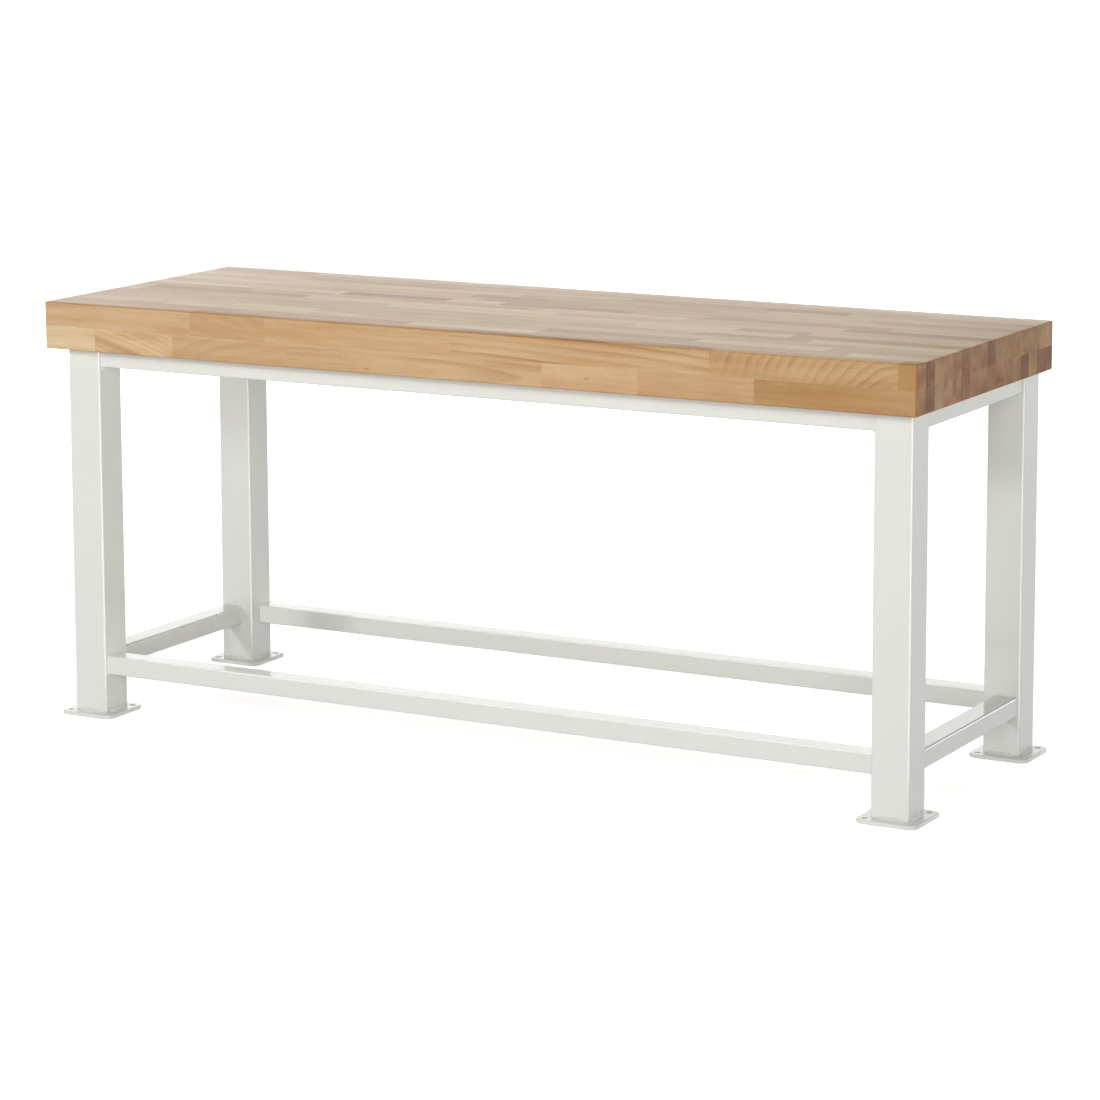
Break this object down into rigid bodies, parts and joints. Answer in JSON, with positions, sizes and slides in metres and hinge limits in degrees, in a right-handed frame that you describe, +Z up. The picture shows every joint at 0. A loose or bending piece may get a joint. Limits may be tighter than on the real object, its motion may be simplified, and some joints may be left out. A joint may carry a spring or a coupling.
{
  "type": "heavy-duty workbench",
  "caption": "Heavy-duty workbench: a thick two-layer beech block worktop on a welded frame of painted square steel tube, with foot plates to bolt to the floor.",
  "frame": {"origin": "on the floor, at the middle of the bench's outline in plan", "axes": "+X along the bench to its right end, -Y to the front where a person stands, +Z up"},
  "size_m": [2, 0.72, 0.9],
  "materials": {
    "beech_pale": "oiled, pale stave",
    "beech_mid": "oiled, middling stave",
    "beech_warm": "oiled, darker stave",
    "frame_paint": "satin light grey powder coat",
    "zinc_screw": "zinc plated"
  },
  "bodies": {
    "root": {"worktop_upper_stave_01": "beech_mid", "worktop_upper_stave_02": "beech_pale", "worktop_upper_stave_03": "beech_warm", "worktop_upper_stave_04": "beech_mid", "worktop_upper_stave_05": "beech_pale", "worktop_upper_stave_06": "beech_warm", "worktop_upper_stave_07": "beech_mid", "worktop_upper_stave_08": "beech_pale", "worktop_upper_stave_09": "beech_warm", "worktop_upper_stave_10": "beech_mid", "worktop_upper_stave_11": "beech_pale", "worktop_upper_stave_12": "beech_warm", "worktop_upper_stave_13": "beech_mid", "worktop_upper_stave_14": "beech_pale", "worktop_upper_stave_15": "beech_warm", "worktop_upper_stave_16": "beech_mid", "worktop_lower_stave_01": "beech_pale", "worktop_lower_stave_02": "beech_mid", "worktop_lower_stave_03": "beech_mid", "worktop_lower_stave_04": "beech_pale", "worktop_lower_stave_05": "beech_mid", "worktop_lower_stave_06": "beech_mid", "worktop_lower_stave_07": "beech_pale", "worktop_lower_stave_08": "beech_mid", "worktop_lower_stave_09": "beech_mid", "worktop_lower_stave_10": "beech_pale", "worktop_lower_stave_11": "beech_mid", "worktop_lower_stave_12": "beech_mid", "worktop_lower_stave_13": "beech_pale", "worktop_lower_stave_14": "beech_mid", "worktop_lower_stave_15": "beech_mid", "worktop_lower_stave_16": "beech_pale", "leg_front_left": "frame_paint", "leg_back_left": "frame_paint", "leg_front_right": "frame_paint", "leg_back_right": "frame_paint", "foot_plate_front_left": "frame_paint", "foot_plate_back_left": "frame_paint", "foot_plate_front_right": "frame_paint", "foot_plate_back_right": "frame_paint", "upper_rail_front": "frame_paint", "upper_rail_back": "frame_paint", "upper_rail_left": "frame_paint", "upper_rail_right": "frame_paint", "lower_rail_front": "frame_paint", "lower_rail_back": "frame_paint", "lower_rail_left": "frame_paint", "lower_rail_right": "frame_paint", "worktop_screw_front_1": "zinc_screw", "worktop_screw_front_2": "zinc_screw", "worktop_screw_front_3": "zinc_screw", "worktop_screw_back_1": "zinc_screw", "worktop_screw_back_2": "zinc_screw", "worktop_screw_back_3": "zinc_screw", "worktop_screw_left_1": "zinc_screw", "worktop_screw_right_1": "zinc_screw"}
  },
  "joints": []
}
